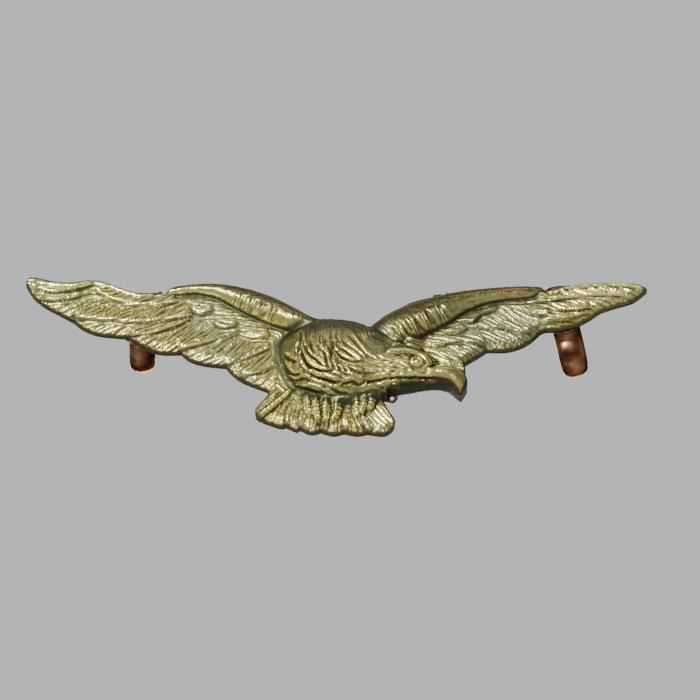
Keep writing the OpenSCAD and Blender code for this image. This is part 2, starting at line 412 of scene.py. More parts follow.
LEFT_BONE = [(-13.4, 2.93, 0.34, 1.4), (-12.7, 2.97, 0.4, 1.5), (-11.2, 3.08, 0.45, 1.65),
             (-9.4, 2.88, 0.66, 1.85), (-7.7, 2.25, 0.98, 2.05), (-6, 1.5, 1.15, 2.2),
             (-4.4, 0.75, 1.1, 2.3), (-3.2, 0.2, 0.95, 2.35), (-2.2, -0.1, 0.7, 2.3),
             (-1.2, -0.2, 0.5, 2.2)]
RIGHT_BONE = [(16.4, 3.15, 0.25, 1.2), (15.4, 2.85, 0.55, 1.5), (13.6, 2.7, 0.62, 1.65),
              (11.8, 2.42, 0.72, 1.75), (10, 1.9, 1, 1.9), (8.3, 1.15, 1.35, 2.05),
              (6.6, 0.4, 1.5, 2.2), (5, -0.35, 1.5, 2.2), (3.8, -1, 1.3, 2)]
# the thin roll along the rest of each wing's upper edge: [x, z, half width]
LEADING_EDGES = [
    [(-24.3, 3.85, 0.24), (-22.6, 3.55, 0.26), (-21, 3.45, 0.24), (-19.3, 3.65, 0.24), (-17.9, 3.28, 0.24),
     (-16.1, 2.6, 0.22), (-14.5, 2.6, 0.15)],
    [(17, 2.98, 0.15), (18.3, 3.18, 0.2), (19.7, 3.38, 0.2), (21.8, 3.52, 0.2), (23.7, 3.44, 0.2),
     (24.7, 3.15, 0.2)],
]


def lay_bones():
    part, down, s, on = wing_bone(LEFT_BONE, 0.75, -1)
    ribs(part, down, s, on, 5.2, 9.6, 9)
    part, down, s, on = wing_bone(RIGHT_BONE, 0.55, 1)
    ribs(part, down, s, on, 7.5, 13.2, 10)
    for points in LEADING_EDGES:
        part, raised = ridge(points, LEADING_RISE)
        barb[part] *= 1 - minimum(1.5 * raised, 1)
        at_least(bare, 0.8 * raised, part)


# The breast, neck and head: a closed edge [x, z, height of the edge], clockwise
BODY = [(-1.3, 0.2, 2), (0.5, 0.25, 1.8), (1.8, 0, 1.75), (2.7, -0.5, 1.8), (3.6, -1.2, 2), (4.8, -2, 2),
        (6, -2.5, 1.9), (7.2, -2.9, 1.7), (7.9, -3.35, 1.4), (8.4, -4, 1.4), (8.8, -4.7, 1.6),
        (9, -5.3, 1.8), (8.6, -5.55, 1.8), (8.2, -5.4, 1.9), (7, -5.5, 2), (6, -5.7, 2), (4.9, -5.9, 2.1),
        (4, -6.15, 1.9), (2.5, -6.6, 1.5), (0.2, -6.9, 1.3), (-1.6, -6.5, 1.1), (-2.95, -5.8, 1),
        (-3.9, -4.7, 0.9), (-4.4, -3.2, 0.9), (-4.5, -1.8, 0.9), (-3.7, -0.9, 1.2), (-2.5, -0.3, 1.8)]
BODY_ROUND = 2.3       # how far from its edge the body is level
# its tallest places [x, z, height]
BODY_TOP = [(-2.5, -3, 2.95), (0, -3.3, 3.05), (3, -3.6, 3.1), (6, -4.1, 3.15), (8, -4.6, 2.75)]


def lay_body():
    within = inside(curve(BODY, closed=True))
    part, d, _, _, (edge,) = near(BODY, 3.5, closed=True)
    within = within[part]
    tops = np.array(BODY_TOP)
    x = X[part][..., None]
    z = Z[part][..., None]
    w = 1 / ((x - tops[:, 0]) ** 2 + 0.3 * (z - tops[:, 1]) ** 2 + 0.5) ** 2
    top = (w * tops[:, 2]).sum(-1) / w.sum(-1)
    gap = np.abs(d)
    form = edge + (top - edge) * (1 - clip(1 - gap / BODY_ROUND, 0, 1) ** 2)
    form = where(within, form, edge - 2.5 * gap)
    around = height[part] - 0.08 * bell(d, 0.45)
    height[part] = maximum(form, around)
    on = within * smooth((form - around) / 0.25)
    barb[part] *= 1 - on
    bare[part] *= 1 - on
    brown[part] *= 1 - on
    green[part] = maximum(green[part] * (1 - on), bell(d, 0.45))
    # the valley at its foot is soft
    soft = bell(d, 0.35) * smooth((4.5 - x[..., 0]) / 1.5)
    height[part] += soft * (blur(height, 0.16)[part] - height[part])
    return part, on


def clear_shore():
    """A smooth valley around the body, where the feathers end, with painted shade in it."""
    part, d, _, _, _ = near(BODY, 1.2, closed=True)
    left = smooth((5 - X[part]) / 2)
    at_least(bare, left * exp(-(d / 0.5) ** 4), part)
    at_least(shade, 0.75 * left * bell(d, 0.4), part)


def patch(x, z, radius, soft=0.4):
    """1 within the radius of a point, falling to 0 past it."""
    return 1 - smooth((hypot(X - x, Z - z) - radius) / soft)


# Locks of feathers on the breast, each by its lower edge: [x, z, height], with low ends
HACKLE_RISE = 1.35
HACKLE_END = 0.1
HACKLES = [
    [(-2.7, -2.8), (-2.55, -3.55, 0.25), (-2.05, -4.35, 0.3), (-1.35, -4.75, 0.34), (-0.7, -4.9, 0.3),
     (-0.1, -4.75, 0.2)],
    [(-2.4, -2.6), (-2.25, -3.15, 0.28), (-1.95, -3.6, 0.3), (-1.5, -3.9, 0.2)],
    [(-1.4, -2.5), (-1.2, -2.95, 0.2), (-0.85, -3.4, 0.25), (-0.7, -3.9, 0.25), (-0.6, -4.45, 0.2),
     (-0.3, -4.7)],
    [(-0.1, -2.2), (-0.2, -3.3, 0.16), (-0.3, -3.85, 0.16), (-0.15, -4.45, 0.16), (0.1, -4.9)],
    [(-1.9, -3.5), (-1.5, -3.95, 0.18), (-1.1, -4.35, 0.18), (-0.75, -4.65)],
    [(0.1, -3.1), (0.3, -3.55, 0.28), (0.75, -3.85, 0.34), (1.3, -4.05, 0.3), (1.95, -4.05, 0.2),
     (2.5, -4)],
    [(0.1, -2.5), (0.35, -2.9, 0.22), (0.8, -3.25, 0.28), (1.5, -3.75, 0.2), (2, -3.9)],
    [(1.1, -1.7), (1.6, -2.4, 0.16), (2.3, -3.35, 0.16), (2.9, -3.8)],
    [(0.6, -2.1), (0.9, -2.6, 0.16), (1.4, -3, 0.2), (2.05, -3.6, 0.2), (2.5, -3.85)],
    [(-4.1, -2.6), (-3.95, -3, 0.2), (-3.5, -3.5, 0.2), (-3, -3.9)],
    [(-4.2, -3.3), (-3.8, -4.1, 0.2), (-3.3, -4.65, 0.2), (-2.6, -4.8)],
    [(-3.9, -4.5), (-3.2, -5.05, 0.2), (-2.5, -5.15, 0.2), (-2, -5.5)],
    [(-3.3, -5.45), (-2.25, -5.8, 0.28), (-1.35, -6.15, 0.28), (-0.8, -6.25)],
    [(-2.4, -4.7), (-2, -4.95, 0.18), (-1.45, -5.25, 0.2), (-0.9, -5.45)],
    [(-1.5, -5.2), (-0.6, -5.5, 0.22), (-0.1, -5.65, 0.24), (0.5, -5.75)],
    [(0.2, -4.4), (0.4, -4.7, 0.16), (0.6, -5.1)],
    [(0.6, -4.4), (0.85, -4.8, 0.16), (1.1, -5.1)],
    [(1, -4.5), (1.55, -4.9, 0.18), (2.3, -5.1)],
    [(0.3, -5.9), (1.3, -5.65, 0.16), (1.9, -5.8, 0.18), (2.4, -5.6)],
    [(-0.4, -6), (0.4, -6.35, 0.2), (1.1, -6.35)],
    [(-2.75, -1.2), (-2.7, -1.9, 0.14), (-2.8, -2.8, 0.14), (-3, -3.3)],
]
BREAST = [(-4.4, -1.5), (-4.3, -4), (-2.5, -6), (0, -6.8), (3, -6.3), (3.4, -5), (2.7, -3.6), (2.2, -1.4),
          (1, -0.6), (-2, -0.6)]


def cover(points):
    """1 along a line through points [x, z, half width], with a soft edge."""
    result = np.zeros(X.shape)
    part, d, _, _, (w,) = near(points, 1)
    result[part] = smooth((w + 0.1 - np.abs(d)) / 0.15)
    return result


def hackle(points, reach=0.6):
    """One lock lies over the next: a lip on the left of its edge, and a groove on the right."""
    points = [(*p, HACKLE_END)[:3] for p in points]
    part, d, s, length, (size,) = near(points, reach)
    ends = smooth(s / 0.25) * smooth((length - s) / 0.3)
    lip = smooth((d + 0.04) / 0.1) * (1 - smooth(d / reach)) ** 1.5
    groove = bell(d + 0.1, 0.09)
    height[part] += HACKLE_RISE * ends * size * (lip - 0.9 * groove)


def dress_body(part, within):
    """The hackles of the breast and the small feathers of the head."""
    on = np.zeros(X.shape)
    on[part] = within
    breast = blur(inside(curve(BREAST, closed=True)).astype(float), 0.35) * on
    crown = patch(3.3, -2.6, 0.85, 0.5) * on
    cere = maximum(patch(8, -4.7, 0.6), patch(6.9, -3, 0.5)) * on
    brow = maximum(cover(BROW), cover(TEMPLE)) * on
    back = smooth((Z + 2) / 0.9) * on
    shoulder = patch(-3.7, -2, 0.6, 0.7) * on
    plain = maximum(maximum(crown, cere), maximum(brow, patch(*EYE, 0.6, 0.2)))
    face = on * (1 - breast) * (1 - plain)
    long_strands = streaks(11, 0.12, 2)
    strands = streaks(12, 0.055, 1.1)
    tufts = streaks(13, 0.06, 0.7)
    uneven = blur(scatter(14), 0.5)
    lively = breast * (1 - 0.9 * back) * (1 - 0.8 * shoulder) * (1 + 0.5 * np.tanh(uneven / uneven.std()))
    height[...] += lively * (0.035 * long_strands - 0.02 * np.abs(long_strands) + 0.025 * strands)
    height[...] += face * (1 - 0.8 * back) * 0.045 * tufts
    height[...] += on * back * 0.012 * tufts
    for points in HACKLES:
        hackle(points)
    ring = hypot(X - 3.3, Z + 2.55)
    height[...] -= 0.05 * bell(ring - 0.16, 0.05)
    at_least(bare, plain * on)
    at_least(green, maximum(maximum(0.9 * crown, 0.85 * back), 0.8 * shoulder))
    # Brown tarnish with painted shade on the breast, kept off two patches on its crest, which stay bright
    # as a painted highlight; painted shade on the body's upper part
    lock = patch(-1.3, -4, 0.7, 0.7) + patch(1.2, -3.7, 0.3, 0.6)
    at_least(brown, on * (0.65 - 0.65 * minimum(lock, 1)) * breast)
    at_least(shade, 0.3 * back)


# Lines of the face: [x, z, half width], and for the beak also its top
BEAK_FOOT = 1.2
BROW = [(3.9, -3.25, 0.2), (4.6, -3.2, 0.32), (5.8, -3.05, 0.34), (6.6, -3.15, 0.36), (7.15, -3.5, 0.36),
        (7.4, -4, 0.3), (7.3, -4.4, 0.2)]
TEMPLE = [(4.4, -2.45, 0.2), (5.6, -2.2, 0.34), (6.9, -2.35, 0.28)]
BEAK = [(7.2, -4.8, 0.5, 2.75), (8.2, -4.75, 0.7, 2.85), (9.1, -4.85, 0.85, 2.8), (9.75, -5.35, 0.85, 2.55),
        (10.05, -6, 0.65, 2.15), (10, -6.75, 0.35, 1.6)]
MOUTH = [(2.4, -5.75, 0.12), (3.8, -5.45, 0.14), (5.2, -5.3, 0.14), (7.2, -5.2, 0.14), (8.2, -5.3, 0.14),
         (8.8, -5.55, 0.12)]
# the jaw's underside, which gets painted shade
JAW_SHADOW = [(3.9, -6.1, 0.25), (5.5, -5.85, 0.25), (7.3, -5.75, 0.2), (8.7, -6, 0.25)]
LIP = [(6.8, -5.42, 0.1), (7.8, -5.4, 0.1), (8.7, -5.55, 0.1), (9.2, -5.85, 0.1)]
EYE = (6.45, -4.05)


def dress_head():
    part, d, s, length, (w, top) = near(BEAK, 1.5)
    t = np.abs(d) / w
    beak = BEAK_FOOT + (top - BEAK_FOOT) * sqrt(clip(1 - t ** 2.4, 0, 1))
    on = (t < 1) * smooth(s / 0.9)
    height[part] = where(beak > height[part], height[part] + on * (beak - height[part]), height[part])
    at_least(bare, (t < 1) * smooth(s / 0.5), part)
    brown[part] = maximum(brown[part] * (t > 1), 0.45 * on)
    at_least(red_tint, 0.16 * on, part)
    green[part] *= 1 - on
    # painted shadow above the beak: patina green and near-black painted shade
    behind = (t > 1) * (d > 0) * bell(t - 1, 0.6) * smooth(s / 0.9)
    at_least(green, behind, part)
    at_least(shade, 0.8 * behind, part)
    # the beak's side has no barbs, and neither has what is behind it
    barb[part] *= t > 1
    ridge(MOUTH, rise=-0.42)
    ridge(LIP, rise=0.14)
    # painted shade under the jaw, kept off the lip
    at_least(shade, 0.9 * cover(JAW_SHADOW) * (1 - cover(LIP)))
    ridge(TEMPLE, rise=0.22, power=0.8)
    part, raised = ridge(BROW, rise=0.45, power=0.55)
    at_least(bare, raised > 0.05, part)
    at_least(brown, 0.35 * raised, part)
    at_least(red_tint, 0.15 * raised, part)
    # the hollow below the brow, the ring around the eye and its ball
    r = hypot(X - EYE[0], Z - EYE[1])
    height[...] -= 0.1 * bell(r - 0.58, 0.15)
    height[...] += 0.13 * bell(r - 0.36, 0.075)
    ball = sqrt(clip(1 - (r / 0.2) ** 2, 0, 1))
    height[...] += 0.1 * ball - 0.08 * bell(r - 0.22, 0.05)
    at_least(bare, r < 0.5)


# The leg tufts, drawn as beaded columns [x, z, half width], and the two legs' outlines
LEG_COLUMNS = [
    [(-2.3, -6.2, 0.3), (-2.3, -7.4, 0.3), (-1.9, -8.3, 0.2)],
    [(-1.6, -6.4, 0.33), (-1.6, -7.7, 0.33), (-1.35, -8.8, 0.22)],
    [(-0.8, -6.5, 0.33), (-0.8, -7.8, 0.33), (-0.85, -8.9, 0.22)],
    [(0.15, -6.6, 0.36), (0.15, -7.7, 0.33), (-0.25, -8.7, 0.22)],
    [(1.75, -6.5, 0.32), (1.5, -7.5, 0.32), (1.75, -8.4, 0.18)],
    [(2.45, -6.3, 0.3), (2.15, -7.4, 0.3), (1.95, -8.2, 0.18)],
    [(3.1, -6.2, 0.28), (2.9, -7, 0.28), (2.55, -7.8, 0.18)],
]
LEGS = [
    [(-2.9, -5.8), (-2.8, -7.5), (-2.1, -8.7), (-1, -9), (0, -8.7), (0.6, -7.6), (0.7, -6), (-1, -5.5)],
    [(1.1, -6), (1.1, -7.6), (1.8, -8.5), (2.4, -8.2), (3.2, -7.4), (3.5, -6.2), (2.5, -5.8)],
]
TAIL_EDGES = [
    [(-3.4, -6.4), (-4, -7.7), (-4.1, -8.9)],
    [(-2.7, -7.2), (-3, -8.2), (-2.9, -9.1)],
    [(-1.2, -8.6), (-1.2, -9.3)],
    [(0.5, -7.6), (0.5, -8.6), (0.7, -9.4)],
    [(1.9, -8), (2.2, -8.8), (2.6, -9.5)],
]
TAIL_FROM = -6.9       # the tail is rougher below this
# the beaded rib along the tail's left edge: [x, z, half width]
TAIL_RIB = [(-6.3, -8.2, 0.26), (-5.4, -7.5, 0.26), (-4.4, -6.6, 0.24), (-3.5, -5.7, 0.2)]


def lay_tail():
    tail = smooth((TAIL_FROM - Z) / 0.6)
    barb[...] *= 1 - 0.4 * tail
    rough = blur(scatter(15), 0.055)
    height[...] += 0.022 * tail * rough / rough.std()
    for points in TAIL_EDGES:
        feather_edge(points, reach=0.9, step=0.2, groove=0.15)
    part, raised = ridge(TAIL_RIB, rise=0.45, power=0.7)
    along = (X[part] - TAIL_RIB[0][0] + Z[part] - TAIL_RIB[0][1]) * 0.8
    height[part] += raised * 0.07 * np.sin(2 * pi * along / 0.45)
    barb[part] *= 1 - 0.5 * raised
    for points in LEGS:
        within = inside(curve(points, closed=True))
        part, d, _, _, _ = near(points, 0.2, closed=True)
        on = within[part]
        height[part] = where(on, height[part] + 0.35 * smooth(np.abs(d) / 0.8), height[part])
        barb[part] = where(on, 0.04, barb[part])
    for points in LEG_COLUMNS:
        part, d, s, length, (w,) = near(points, 0.5)
        column = sqrt(clip(1 - (d / w) ** 2, 0, 1))
        beads = 0.55 + 0.45 * np.abs(np.sin(pi * s / 0.36 + d))
        ends = smooth(s / 0.2) * smooth((length - s) / 0.5)
        height[part] += ends * 0.45 * column * beads


# The thin web between the jaw and the tail, and its piercing: [x, z, radius]
WEB_AT = (4.5, -6.15)
WEB_THICK = 0.6
NOTCH = (17.35, 3.3)   # where the right lug's foot shows above the wing
RIGHT_TIP = (22, 2.7)  # the bright part of the right wing
TALL = 2.9             # what is taller than this is worn to half
PIERCING = (4.5, -6.1, 0.19)
# small nubs of flash on the upper edge: [x, z, radius]
NUBS = [(-14.1, 2.87, 0.16), (8, 2.5, 0.22), (8.35, 2.57, 0.22), (8.95, 2.7, 0.18), (18.35, 3.42, 0.14),
        (18.7, 3.46, 0.12)]
RIM = 0.17             # how round the front's edge is
FAR = 2.0              # distances from the edge are measured up to this


def edge_distance():
    """The distance to the outline, more than 0 inside."""
    closed = np.vstack([outline, outline[:1]])
    d = np.full(X.shape, FAR)
    for a, b in zip(closed, closed[1:]):
        lo = maximum(((minimum(a, b) - FAR - low) / PITCH).astype(int), 0)
        hi = ((maximum(a, b) + FAR - low) / PITCH).astype(int) + 1
        part = (slice(lo[1], hi[1]), slice(lo[0], hi[0]))
        ab = b - a
        t = clip(((X[part] - a[0]) * ab[0] + (Z[part] - a[1]) * ab[1]) / (ab @ ab), 0, 1)
        gap = hypot(X[part] - a[0] - t * ab[0], Z[part] - a[1] - t * ab[1])
        d[part] = minimum(d[part], gap)
    d = where(inside(outline), d, -d)
    for x, z, r in NUBS:
        d = maximum(d, r - hypot(X - x, Z - z))
    x, z, r = PIERCING
    return minimum(d, hypot(X - x, Z - z) - r)


SCAPULARS = [(4.6, -1.5, 1.2, 1.9), (5.9, -1.7, 1, 1.55)]


def lay_scapulars():
    """The small feathers between the right wing's bone and the head: mounds [x, z, radius, top]."""
    for x, z, radius, top in SCAPULARS:
        mound = patch(x, z, 0.1 * radius, 1.3 * radius)
        at_least(height, 1 + (top - 1) * mound)
        bare[...] *= 1 - mound
        green[...] *= 1 - 0.5 * mound
        brown[...] *= 1 - mound
        at_least(barb, 0.06 * mound)


# ---------- put the relief together ----------

def draw_barbs():
    """How far the barbs rise and are cut at each point; the deepest of them get painted shade."""
    fine = streaks(1, 0.05, 1.9)
    wide = streaks(2, 0.085, 2)
    at_least(shade, 0.45 * smooth((-0.4 - fine) / 1.2) * (barb > 0.05))
    return barb * (0.85 * np.tanh(1.3 * fine) + 0.35 * wide)


def wear():
    """Small dents all over, a limit on the tallest parts, and soft lower edges. Gives the cavities."""
    web = patch(*WEB_AT, 0.42, 0.05) * (Z < -5.9)
    height[...] = where(web > 0.5, WEB_THICK, height)
    dents = scatter(5)
    height[...] += 0.012 * blur(dents, 0.25) * 9 + 0.006 * blur(dents, 0.09) * 4
    cavity = height - blur(height, 0.16, solid)
    height[...] = where(height > TALL, TALL + 0.5 * (height - TALL), height)
    height[...] = blur(height, 0.03, solid)
    slope = np.gradient(blur(edge, 0.3), PITCH)[0]
    lower = smooth(slope / 0.6) * (1 - smooth(edge / 0.7))
    height[...] -= 0.3 * lower * (height < 1.6)
    height[...] -= 0.35 * patch(*NOTCH, 0.3, 0.6)
    rim = minimum(RIM, 0.5 * height)
    height[...] -= rim * (1 - dome(edge / RIM))
    return cavity


def verdigris_field():
    right = maximum(patch(10.6, -0.6, 2, 2.5), 0.9 * patch(14.5, 0.6, 1.5, 2))
    left = 0.4 * patch(-8.5, -0.5, 2.5, 2.5)
    return maximum(right, left) * (1 - minimum(1.4 * brown, 1))


def polish_field():
    """Where wear has left the metal bright: the right tip, the tail, and two places on the left."""
    return (2.4 * patch(*RIGHT_TIP, 2, 2.2) + patch(3.6, -8.4, 0.6, 0.8) + patch(-13.2, 3, 0.4, 0.8)
            + patch(-23.5, 3.3, 1, 1.5))


def red_field():
    """The small red-brown patch near the right roll's end, and the tint of the face."""
    spot = maximum(patch(13.5, 2.95, 0.4, 0.7), patch(14.8, 2.9, 0.35, 0.5))
    return maximum(red_tint, 0.7 * spot)


lay_feathers()
lay_tail()
cut = draw_barbs()
lay_bones()
lay_scapulars()
edge = edge_distance()
clear_shore()
height += cut * (1 - bare) * smooth((edge - 0.02) / 0.18)
dress_body(*lay_body())
dress_head()
solid = (edge > 0).astype(float)
cavity = wear()
# less painted shade on the right tip, and painted shade in the notch of the left wing's lower edge
shade *= 1 - 0.4 * patch(*RIGHT_TIP, 1.8, 2.2)
at_least(shade, 0.9 * patch(-21.1, 0.7, 0.15, 0.45))
LOOK_FIELDS = {"cavity": cavity, "shade": shade, "green": green, "verdigris": verdigris_field(),
               "brown": brown, "polish": polish_field(), "red": red_field()}


# ---------- the eagle's mesh ----------

def front_sheet():
    """The grid cut to the outline: points [x, z] and faces."""
    slope_z, slope_x = np.gradient(edge, PITCH)
    size = hypot(slope_x, slope_z) + SPECK
    close = np.abs(edge) < 0.3 * PITCH
    sign = where(close, 0, np.sign(edge)).astype(int)
    px = where(close, X - edge * slope_x / size, X)
    pz = where(close, Z - edge * slope_z / size, Z)
    keep = sign >= 0
    number = np.full(X.shape, -1)
    number[keep] = np.arange(keep.sum())
    points = [tuple(p) for p in np.column_stack([px[keep], pz[keep]])]
    corners, signs = [np.stack([f[:-1, :-1], f[:-1, 1:], f[1:, 1:], f[1:, :-1]], -1)
                      for f in (number, sign)]
    whole = (signs >= 0).all(-1) & (signs > 0).any(-1)
    faces = corners[whole].tolist()
    crossing = {}
    around = ((0, 0), (0, 1), (1, 1), (1, 0))
    mixed = (signs > 0).any(-1) & (signs < 0).any(-1)
    for j, i in zip(*np.nonzero(mixed)):
        ring = [(j + dj, i + di) for dj, di in around]
        face = []
        for a, b in zip(ring, ring[1:] + ring[:1]):
            if sign[a] >= 0:
                face.append(int(number[a]))
            if sign[a] * sign[b] < 0:
                key = (a, b) if a < b else (b, a)
                if key not in crossing:
                    t = edge[a] / (edge[a] - edge[b])
                    crossing[key] = len(points)
                    points.append((px[a] + t * (px[b] - px[a]), pz[a] + t * (pz[b] - pz[a])))
                face.append(crossing[key])
        if len(face) > 2:
            faces.append(face)
    return np.array(points), faces


HOLLOW_FROM = 1.35     # the back follows the relief where it is higher than this
BACK_ROUND = 0.1       # how round the back's edge is
BACK_PITCH = 0.4       # the spacing of the back's points
BACK_CLEAR = 0.35      # how far they stay from its edge
WALL_RINGS = (0.25, 0.5, 0.75, 0.93)   # how far down the wall its rings of points are


def add_wall(loop, flat, tall, inward, places, faces):
    """The wall below one loop of the front's edge, down to the back. Gives its last ring."""
    x, z = flat[loop].T
    nx = look_up(inward[1], x, z)
    nz = look_up(inward[0], x, z)
    size = hypot(nx, nz) + SPECK
    ring = loop
    for share, inset in [(1 - f, 0.0) for f in WALL_RINGS] + [(0.0, BACK_ROUND)]:
        new = list(range(len(places), len(places) + len(loop)))
        up = tall[loop] * share
        for k in range(len(loop)):
            places.append((x[k] + inset * nx[k] / size[k], -up[k], z[k] + inset * nz[k] / size[k]))
        for k in range(len(loop)):
            n = (k + 1) % len(loop)
            faces.append([ring[n], ring[k], new[k], new[n]])
        ring = new
    return ring


def add_back(rings, places, faces):
    """The back within the walls' last rings: flat, with a soft hollow behind the tall relief."""
    rise = clip(blur(height, 0.7, solid) - HOLLOW_FROM, 0, 3)
    hollow = 0.85 * rise * smooth((edge - 0.7) / 0.9)
    points = []
    lines = []
    known = []
    for ring in rings:
        first = len(points)
        points += [Vector((places[n][0], places[n][2])) for n in ring]
        lines += [(first + k, first + (k + 1) % len(ring)) for k in range(len(ring))]
        known += ring
    for x in np.arange(low[0], high[0], BACK_PITCH):
        for z in np.arange(low[1], high[1], BACK_PITCH):
            if look_up(edge, x, z) > BACK_CLEAR:
                points.append(Vector((x, z)))
    spots, _, triangles, origins, _, _ = geometry.delaunay_2d_cdt(points, lines, [], 0, 1e-7)
    numbers = []
    for spot, origin in zip(spots, origins):
        same = [known[o] for o in origin if o < len(known)]
        if same:
            numbers.append(same[0])
        else:
            numbers.append(len(places))
            places.append((spot.x, -float(look_up(hollow, spot.x, spot.y)), spot.y))
    for t in triangles:
        middle = sum((spots[i] for i in t), Vector((0, 0))) / 3
        if look_up(edge, middle.x, middle.y) > 0.5 * BACK_ROUND:
            faces.append([numbers[i] for i in t])


def build_eagle():
    flat, faces = front_sheet()
    tall = look_up(height, flat[:, 0], flat[:, 1])
    places = [(x, -h, z) for (x, z), h in zip(flat, tall)]
    faces = [f[::-1] for f in faces]
    inward = np.gradient(blur(edge, 0.08), PITCH)
    rings = [add_wall(loop, flat, tall, inward, places, faces) for loop in edge_loops(faces)]
    wall_end = len(places)
    add_back(rings, places, faces)
    piece = new_piece("struck_eagle", [(x, y, z + LEVEL) for x, y, z in places], faces)
    spots = np.array(places)
    number = np.arange(len(places))
    front = (number < len(flat)).astype(float)
    for name, field in LOOK_FIELDS.items():
        paint(piece, name, front * look_up(field, spots[:, 0], spots[:, 2]))
    paint(piece, "rim", look_up(edge, spots[:, 0], spots[:, 2]))
    paint(piece, "front", front)
    paint(piece, "rear", number >= wall_end)
    return piece


def paint(piece, name, values):
    attribute = piece.data.attributes.new(name, "FLOAT", "POINT")
    attribute.data.foreach_set("value", values.astype(np.float32))


def link(mesh, name):
    piece = bpy.data.objects.new(name, mesh)
    bpy.context.scene.collection.objects.link(piece)
    return piece


def new_piece(name, places, faces):
    """A smooth piece from points in millimetres."""
    mesh = bpy.data.meshes.new(name)
    mesh.from_pydata([(x * MM, y * MM, z * MM) for x, y, z in places], [], faces)
    mesh.validate()
    mesh.shade_smooth()
    return link(mesh, name)


# ---------- materials ----------

class Look:
    """A material or a world being made, with short ways to add nodes to it."""

    def __init__(self, owner):
        owner.use_nodes = True
        self.owner = owner
        self.tree = owner.node_tree

    def put(self, socket, value):
        """Gives a socket a number or a colour, or links another socket to it."""
        if isinstance(value, bpy.types.NodeSocket):
            self.tree.links.new(value, socket)
        elif isinstance(value, tuple):
            socket.default_value = value + (1,)
        else:
            socket.default_value = value

    def shader(self, name, value):
        self.put(self.tree.nodes["Principled BSDF"].inputs[name], value)

    def add(self, kind, inputs):
        node = self.tree.nodes.new(kind)
        for key, value in inputs.items():
            self.put(node.inputs[key], value)
        return node

    def attribute(self, name):
        node = self.add("ShaderNodeAttribute", {})
        node.attribute_name = name
        return node.outputs["Fac"]

    def noise(self, scale, detail, rough=0.5):
        place = self.add("ShaderNodeTexCoord", {}).outputs["Object"]
        inputs = {"Vector": place, "Scale": scale, "Detail": detail, "Roughness": rough}
        return self.add("ShaderNodeTexNoise", inputs).outputs["Fac"]

    def math(self, kind, a, b):
        node = self.add("ShaderNodeMath", {0: a, 1: b})
        node.operation = kind
        return node.outputs[0]

    def plus(self, a, b):
        return self.math("ADD", a, b)

    def minus(self, a, b):
        return self.math("SUBTRACT", a, b)

    def times(self, a, b):
        return self.math("MULTIPLY", a, b)

    def fit(self, value, none, full):
        """0 where the value is none, rising to 1 where it is full."""
        node = self.add("ShaderNodeMapRange", {"Value": value, "From Min": none, "From Max": full})
        node.interpolation_type = "SMOOTHSTEP"
        return node.outputs["Result"]

    def mix(self, share, a, b):
        """Colour a, with that share of colour b."""
        node = self.add("ShaderNodeMix", {})
        node.data_type = "RGBA"
        for key, value in ((0, share), (6, a), (7, b)):
            self.put(node.inputs[key], value)
        return node.outputs[2]

    def ramp(self, value, stops):
        """Colours along a value, from stops (value, colour)."""
        node = self.add("ShaderNodeValToRGB", {"Fac": value})
        marks = node.color_ramp.elements
        marks[0].position = stops[0][0]
        marks[1].position = stops[-1][0]
        for at, _ in stops[1:-1]:
            marks.new(at)
        for mark, (_, colour) in zip(marks, stops):
            mark.color = colour + (1,)
        return node.outputs["Color"]

    def scale(self, value, low, high, to_low, to_high):
        """to_low where the value is low, and to_high where it is high."""
        inputs = {"Value": value, "From Min": low, "From Max": high, "To Min": to_low, "To Max": to_high}
        return self.add("ShaderNodeMapRange", inputs).outputs["Result"]

    def bump(self, value, strength, depth):
        inputs = {"Height": value, "Strength": strength, "Distance": depth}
        self.shader("Normal", self.add("ShaderNodeBump", inputs).outputs["Normal"])


# the brass, where it is clean, what has grown or worn on it, and painted shade
WARM_BRASS = (0.30, 0.265, 0.06)
COOL_BRASS = (0.28, 0.275, 0.10)
POLISHED = (0.98, 0.90, 0.33)
TARNISH_AND_SHADE = (0.085, 0.062, 0.026)
VERDIGRIS = (0.38, 0.40, 0.20)
PATINA = (0.15, 0.17, 0.09)
CREVICE_GRIME_AND_SHADE = (0.06, 0.06, 0.03)
DARK_BROWN_RIM = (0.10, 0.065, 0.028)
BLUSH = (0.40, 0.16, 0.12)
PAINTED_SHADE = (0.05, 0.055, 0.03)
SIDE_TARNISH_AND_SHADE = (0.04, 0.033, 0.018)
BACK_DARK = (0.16, 0.11, 0.04)
BACK_PALE = (0.46, 0.38, 0.16)
BACK_SPECK = (0.10, 0.08, 0.04)


